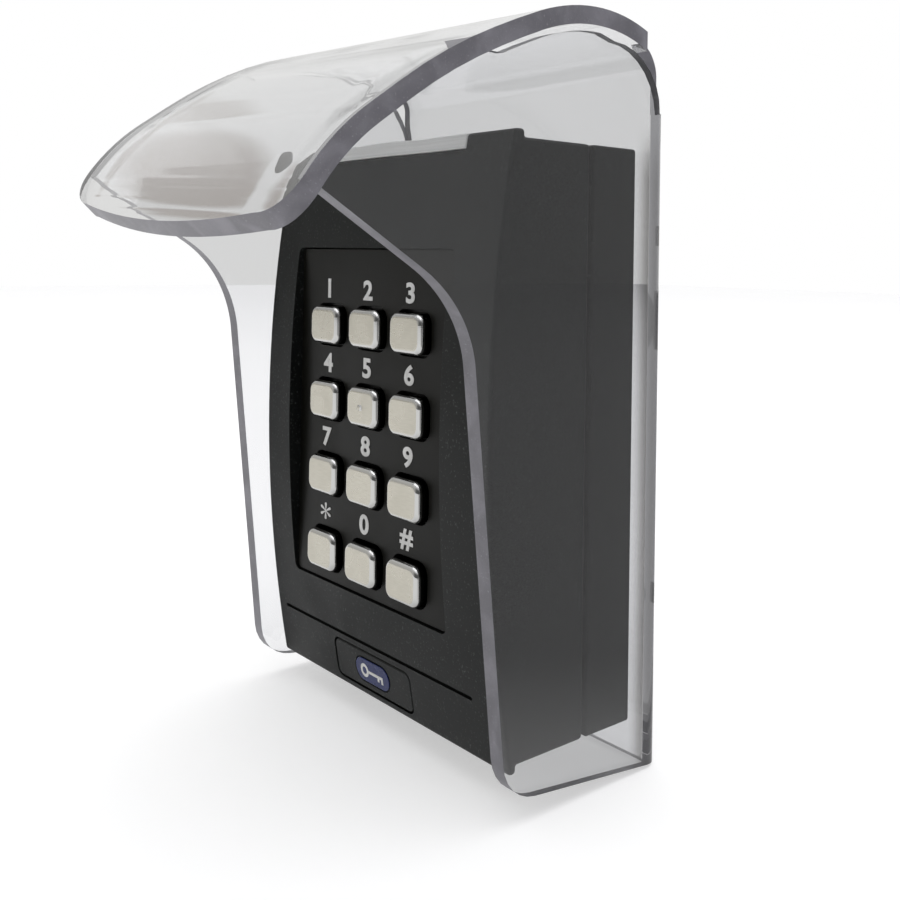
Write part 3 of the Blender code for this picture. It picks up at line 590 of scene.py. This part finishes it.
# ---------------------------------------------------------------- badge emblem
# Dark blue enamelled tile in the badge plate, printed with a plain key sign.
def enamel(name, dark, light):
    """A flat coat of one colour, a little smeared."""
    made, kit, shader = finish(name, 0.3, Specular_IOR_Level=0.2)
    marks = place_group(kit, marks_group, Scale=220.0, Cover=1.0)
    tone = between(kit, dark, light)
    gloss = between(kit, 0.25, 0.42, "number")
    connect(
        made,
        (marks, "Mask", tone, "Factor"),
        (tone, "Result", shader, "Base Color"),
        (marks, "Mask", gloss, "Factor"),
        (gloss, "Result", shader, "Roughness"))
    return made


def front_of(node):
    """Centre and normal of the node's largest flat that looks forward."""
    flats = {}
    for face in nodes[node].data.polygons:
        if face.normal.y < -0.8:
            key = tuple(round(n, 2) for n in face.normal)
            area, centre, normal = flats.get(key, (0.0, Vector(), face.normal.copy()))
            flats[key] = (area + face.area, centre + face.center * face.area, normal)
    area, centre, normal = max(flats.values(), key=lambda flat: flat[0])
    return centre / area, normal


INK = 0.04 * MM                     # thickness of a printed layer
INK_GAP = 0.02 * MM                 # kept clear between the ink and its surface


def printed(name, outlines, centre, normal, look):
    """Thin ink shapes given as flat (across, up) outlines, lying on a face."""
    bm = bmesh.new()
    up = Vector((0, 0, 1))
    up = (up - normal * up.dot(normal)).normalized()
    across = up.cross(normal)
    for outline in outlines:
        rings = [
            [bm.verts.new(centre + across * a + up * b + normal * (INK_GAP + rise))
             for a, b in outline]
            for rise in (0.0, INK)]
        for i in range(len(outline)):
            j = (i + 1) % len(outline)
            bm.faces.new((rings[0][i], rings[0][j], rings[1][j], rings[1][i]))
        bm.faces.new(rings[1])
        bm.faces.new(list(reversed(rings[0])))
    bmesh.ops.recalc_face_normals(bm, faces=bm.faces)
    mesh = bpy.data.meshes.new(name)
    bm.to_mesh(mesh)
    bm.free()
    mesh.materials.append(look)
    piece = bpy.data.objects.new(name, mesh)
    scene.collection.objects.link(piece)
    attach(piece, "reader")
    return piece


def key_sign():
    """Bow, shank and two bits of a key, as closed outlines in metres."""
    def bar(left, right, low, high):
        return [(x * MM, z * MM) for x, z in
                ((left, low), (right, low), (right, high), (left, high))]

    shapes = []
    steps = 28
    middle, inner, outer = -2.9, 0.85, 1.55
    for step in range(steps):
        start, end = (math.tau * (step + part) / steps for part in (0.0, 1.0))
        corners = (inner, start), (outer, start), (outer, end), (inner, end)
        shapes.append([
            ((middle + radius * math.cos(turn)) * MM, radius * math.sin(turn) * MM)
            for radius, turn in corners])
    shank = bar(-1.3, 4.2, -0.33, 0.33)
    end_bit = bar(3.5, 4.2, -1.3, -0.33)
    inner_bit = bar(2.1, 2.8, -1.1, -0.33)
    return shapes + [shank, end_bit, inner_bit]


repaint(enamel("blue enamel", (0.012, 0.020, 0.090, 1), (0.020, 0.032, 0.120, 1)),
        "badge_emblem", rounded=0.1 * MM)
white_ink = enamel("white ink", (0.55, 0.55, 0.54, 1), (0.66, 0.66, 0.65, 1))
sign = printed("badge_key_sign", key_sign(), *front_of("badge_emblem"), white_ink)


# ---------------------------------------------------------------- keypad plate
# Smooth black panel behind the keys, screen printed with the twelve key legends.
def panel_plastic():
    """Smoother and darker than the cover, with rubbed edges."""
    made, kit, shader = finish("smooth black panel", 0.38, Specular_IOR_Level=0.12)
    grain = place_group(kit, grain_group, Scale=3200.0, Speck_Size=0.70)
    marks = place_group(kit, marks_group, Scale=60.0, Cover=1.0)
    wear = place_group(kit, wear_group, Radius=0.4 * MM, Amount=0.3)
    tone = between(kit, (0.0040, 0.0040, 0.0030, 1), (0.0065, 0.0063, 0.0050, 1))
    rubbed = between(kit, (0, 0, 0, 1), (0.024, 0.024, 0.022, 1))
    gloss = between(kit, 0.34, 0.46, "number")
    bump = relief(kit, 0.12, 0.04 * MM)
    connect(
        made,
        (marks, "Mask", tone, "Factor"),
        (tone, "Result", rubbed, "A"),
        (wear, "Mask", rubbed, "Factor"),
        (rubbed, "Result", shader, "Base Color"),
        (marks, "Mask", gloss, "Factor"),
        (gloss, "Result", shader, "Roughness"),
        (grain, "Height", bump, "Height"),
        (bump, "Normal", shader, "Normal"))
    return made


KEY_LEGENDS = {
    "key_1": "1", "key_2": "2", "key_3": "3",
    "key_4": "4", "key_5": "5", "key_6": "6",
    "key_7": "7", "key_8": "8", "key_9": "9",
    "key_star": "*", "key_0": "0", "key_hash": "#",
}
LEGEND_HEIGHT = 4.4 * MM
LEGEND_WIDENING = 1.28              # the legends are wider than the plain typeface
STAR_HEIGHT = 0.86                  # of the height of the others
FONT_SIZE = 6.4 * MM                # before each legend is fitted to its height
STROKE = 0.20 * MM                  # added around each figure to embolden it
STAR_STROKE = 0.02 * MM
LEGEND_RISE = 8.3 * MM              # above the middle of its key
LEGEND_SHIFT = -1.1 * MM            # printed a little left of its key


def legends():
    """All twelve legends as one piece of ink on the plate."""
    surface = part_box("keypad_plate")[0].y - INK_GAP - INK
    bm = bmesh.new()
    for name, text in KEY_LEGENDS.items():
        curve = bpy.data.curves.new(name, "FONT")
        curve.body = text
        curve.size = FONT_SIZE
        curve.offset = STAR_STROKE if text == "*" else STROKE
        curve.extrude = INK
        curve.resolution_u = 6
        glyph = bpy.data.objects.new(name + "_glyph", curve)
        mesh = bpy.data.meshes.new_from_object(glyph)
        corners = [vertex.co for vertex in mesh.vertices]
        low = [min(c[i] for c in corners) for i in (0, 1)]
        high = [max(c[i] for c in corners) for i in (0, 1)]
        height = LEGEND_HEIGHT * (STAR_HEIGHT if text == "*" else 1.0)
        size = height / (high[1] - low[1])
        key_low, key_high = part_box(name)
        x = (key_low.x + key_high.x) / 2 + LEGEND_SHIFT
        z = (key_low.z + key_high.z) / 2 + LEGEND_RISE
        for vertex in mesh.vertices:
            across, up, rise = vertex.co
            vertex.co = (
                x + (across - (low[0] + high[0]) / 2) * size * LEGEND_WIDENING,
                surface - rise,
                z + (up - (low[1] + high[1]) / 2) * size)
        bm.from_mesh(mesh)
        bpy.data.objects.remove(glyph)
        bpy.data.curves.remove(curve)
        bpy.data.meshes.remove(mesh)
    bmesh.ops.remove_doubles(bm, verts=bm.verts, dist=WELD_DISTANCE)
    bmesh.ops.recalc_face_normals(bm, faces=bm.faces)
    mesh = bpy.data.meshes.new("keypad_legends")
    bm.to_mesh(mesh)
    bm.free()
    mesh.materials.append(white_ink)
    piece = bpy.data.objects.new("keypad_legends", mesh)
    scene.collection.objects.link(piece)
    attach(piece, "reader")


repaint(panel_plastic(), "keypad_plate", rounded=0.15 * MM)
legends()


# ---------------------------------------------------------------- keys
# Die-cast caps plated in satin nickel: the face is brushed, the rolled edge
# around it is polished bright.
def key_metal():
    """Brushed across on the flat face, bright on the roll, dark on the skirt."""
    made, kit, shader = finish("satin key metal", 0.3, Metallic=1.0)
    place = kit.new("ShaderNodeTexCoord")
    stretch = kit.new("ShaderNodeMapping")
    stretch.inputs["Scale"].default_value = (420.0, 420.0, 5200.0)
    brush = noise(kit, 1.0, 2.0)
    marks = place_group(kit, marks_group, Scale=150.0, Cover=1.0)
    own = kit.new("ShaderNodeNewGeometry")
    parts = kit.new("ShaderNodeSeparateXYZ")
    flat = kit.new("ShaderNodeMapRange")
    flat.inputs["From Min"].default_value = -0.96
    flat.inputs["From Max"].default_value = -0.995
    face_tone = between(kit, (0.40, 0.38, 0.325, 1), (0.52, 0.50, 0.435, 1))
    tone = between(kit, (0.50, 0.50, 0.49, 1), (0, 0, 0, 1))
    # The skirt and rim behind the panel are left unplated and dark.
    depth = kit.new("ShaderNodeSeparateXYZ")
    plate_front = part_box("keypad_plate")[0].y
    skirt = kit.new("ShaderNodeMapRange")
    skirt.inputs["From Min"].default_value = plate_front - 1.25 * MM
    skirt.inputs["From Max"].default_value = plate_front - 1.05 * MM
    plated = between(kit, (0, 0, 0, 1), (0.02, 0.02, 0.02, 1))
    satin = between(kit, 0.24, 0.36, "number")
    gloss = between(kit, 0.09, 0.3, "number")
    bump = relief(kit, 0.08, 0.03 * MM)
    connect(
        made,
        (place, "Object", stretch, "Vector"),
        (stretch, "Vector", brush, "Vector"),
        (own, "True Normal", parts, "Vector"),
        (parts, "Y", flat, "Value"),
        (brush, "Fac", face_tone, "Factor"),
        (face_tone, "Result", tone, "B"),
        (flat, "Result", tone, "Factor"),
        (place, "Object", depth, "Vector"),
        (depth, "Y", skirt, "Value"),
        (tone, "Result", plated, "A"),
        (skirt, "Result", plated, "Factor"),
        (plated, "Result", shader, "Base Color"),
        (marks, "Mask", satin, "Factor"),
        (satin, "Result", gloss, "B"),
        (flat, "Result", gloss, "Factor"),
        (gloss, "Result", shader, "Roughness"),
        (brush, "Fac", bump, "Height"),
        (bump, "Normal", shader, "Normal"))
    return made


repaint(key_metal(), *KEY_LEGENDS, rounded=0.08 * MM, angle=50, bias=1)


# ---------------------------------------------------------------- rubber parts
# Foam body gasket, silicone keypad mat and cable grommet: dull, a little dusty.
def dusty_rubber():
    """Dull black with paler dust where it is handled."""
    made, kit, shader = finish("dusty black rubber", 0.8, Specular_IOR_Level=0.2)
    grain = place_group(kit, grain_group, Scale=1800.0, Speck_Size=0.60)
    marks = place_group(kit, marks_group, Scale=90.0, Cover=1.0)
    tone = between(kit, (0.014, 0.014, 0.014, 1), (0.045, 0.044, 0.042, 1))
    bump = relief(kit, 0.3, 0.05 * MM)
    connect(
        made,
        (marks, "Mask", tone, "Factor"),
        (tone, "Result", shader, "Base Color"),
        (grain, "Height", bump, "Height"),
        (bump, "Normal", shader, "Normal"))
    return made


repaint(dusty_rubber(), "body_gasket", "keypad_mat", "cable_grommet")


# ---------------------------------------------------------------- screws
# Zinc plated steel: two wall screws, four board screws and the tamper screw.
def zinc_plate():
    """Grey plating, rubbed bright at its edges."""
    made, kit, shader = finish("zinc plated steel", 0.35, Metallic=1.0)
    grain = place_group(kit, grain_group, Scale=900.0, Speck_Size=0.60)
    marks = place_group(kit, marks_group, Scale=260.0, Cover=1.0)
    wear = place_group(kit, wear_group, Radius=0.25 * MM, Amount=1.0)
    tone = between(kit, (0.44, 0.44, 0.43, 1), (0.58, 0.58, 0.55, 1))
    bright = between(kit, (0, 0, 0, 1), (0.82, 0.82, 0.80, 1))
    gloss = between(kit, 0.26, 0.46, "number")
    bump = relief(kit, 0.15, 0.04 * MM)
    connect(
        made,
        (marks, "Mask", tone, "Factor"),
        (tone, "Result", bright, "A"),
        (wear, "Mask", bright, "Factor"),
        (bright, "Result", shader, "Base Color"),
        (marks, "Mask", gloss, "Factor"),
        (gloss, "Result", shader, "Roughness"),
        (grain, "Height", bump, "Height"),
        (bump, "Normal", shader, "Normal"))
    return made


screws = [name for name in sorted(nodes) if "screw" in name]
repaint(zinc_plate(), *screws, rounded=0.1 * MM)


# ---------------------------------------------------------------- electronics
# Green laminate board with its copper coil, chip, sounder, connector and lamps.
def laminate():
    """Green solder mask over a net of fine tracks."""
    made, kit, shader = finish("circuit board", 0.35)
    place = kit.new("ShaderNodeTexCoord")
    turn = kit.new("ShaderNodeMapping")
    turn.inputs["Rotation"].default_value = (math.radians(90), 0, 0)
    tracks = kit.new("ShaderNodeTexBrick")
    tracks.inputs["Scale"].default_value = 110.0
    tracks.inputs["Mortar Size"].default_value = 0.035
    tracks.inputs["Color1"].default_value = (0.012, 0.10, 0.045, 1)
    tracks.inputs["Color2"].default_value = (0.016, 0.12, 0.050, 1)
    tracks.inputs["Mortar"].default_value = (0.035, 0.20, 0.085, 1)
    bump = relief(kit, 0.4, 0.04 * MM)
    connect(
        made,
        (place, "Object", turn, "Vector"),
        (turn, "Vector", tracks, "Vector"),
        (tracks, "Color", shader, "Base Color"),
        (tracks, "Fac", bump, "Height"),
        (bump, "Normal", shader, "Normal"))
    return made


def wound_copper():
    """Enamelled wire: the turns run round the coil, one beside the other."""
    made, kit, shader = finish("enamelled copper", 0.3, Metallic=1.0)
    place = kit.new("ShaderNodeTexCoord")
    parts = kit.new("ShaderNodeSeparateXYZ")
    low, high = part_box("antenna_coil")
    insets = []
    for edge in (high.x, high.z):
        away = maths(kit, "ABSOLUTE")
        inset = maths(kit, "SUBTRACT", edge)
        made.node_tree.links.new(away.outputs[0], inset.inputs[0])
        insets.append((away, inset))
    outer = maths(kit, "MAXIMUM")
    wire = 0.4 * MM
    pitch = maths(kit, "MULTIPLY", math.tau / wire)
    turns = maths(kit, "SINE")
    tone = between(kit, (0.30, 0.09, 0.03, 1), (0.72, 0.30, 0.12, 1))
    bump = relief(kit, 0.6, 0.1 * MM)
    connect(
        made,
        (place, "Object", parts, "Vector"),
        (parts, "X", insets[0][0], 0),
        (parts, "Z", insets[1][0], 0),
        (insets[0][1], 0, outer, 0),
        (insets[1][1], 0, outer, 1),
        (outer, 0, pitch, 0),
        (pitch, 0, turns, 0),
        (turns, 0, tone, "Factor"),
        (tone, "Result", shader, "Base Color"),
        (turns, 0, bump, "Height"),
        (bump, "Normal", shader, "Normal"))
    return made


def moulded_part(name, dark, light, roughness):
    """Small moulding with a matte skin and faint flow marks."""
    made, kit, shader = finish(name, roughness)
    grain = place_group(kit, grain_group, Scale=2600.0, Speck_Size=0.62)
    marks = place_group(kit, marks_group, Scale=180.0, Cover=1.0)
    tone = between(kit, dark, light)
    bump = relief(kit, 0.2, 0.04 * MM)
    connect(
        made,
        (marks, "Mask", tone, "Factor"),
        (tone, "Result", shader, "Base Color"),
        (grain, "Height", bump, "Height"),
        (bump, "Normal", shader, "Normal"))
    return made


repaint(laminate(), "main_board", rounded=0.1 * MM)
repaint(wound_copper(), "antenna_coil")
repaint(moulded_part("epoxy", (0.012, 0.012, 0.013, 1), (0.022, 0.022, 0.024, 1), 0.4),
        "controller_chip", "sounder", rounded=0.1 * MM)
repaint(moulded_part("connector nylon", (0.02, 0.17, 0.08, 1), (0.035, 0.24, 0.11, 1),
                     0.45),
        "terminal_block", rounded=0.1 * MM)
repaint(moulded_part("lamp resin", (0.62, 0.62, 0.58, 1), (0.78, 0.78, 0.74, 1), 0.2),
        "indicator_led_left", "indicator_led_centre", "indicator_led_right",
        rounded=0.1 * MM)
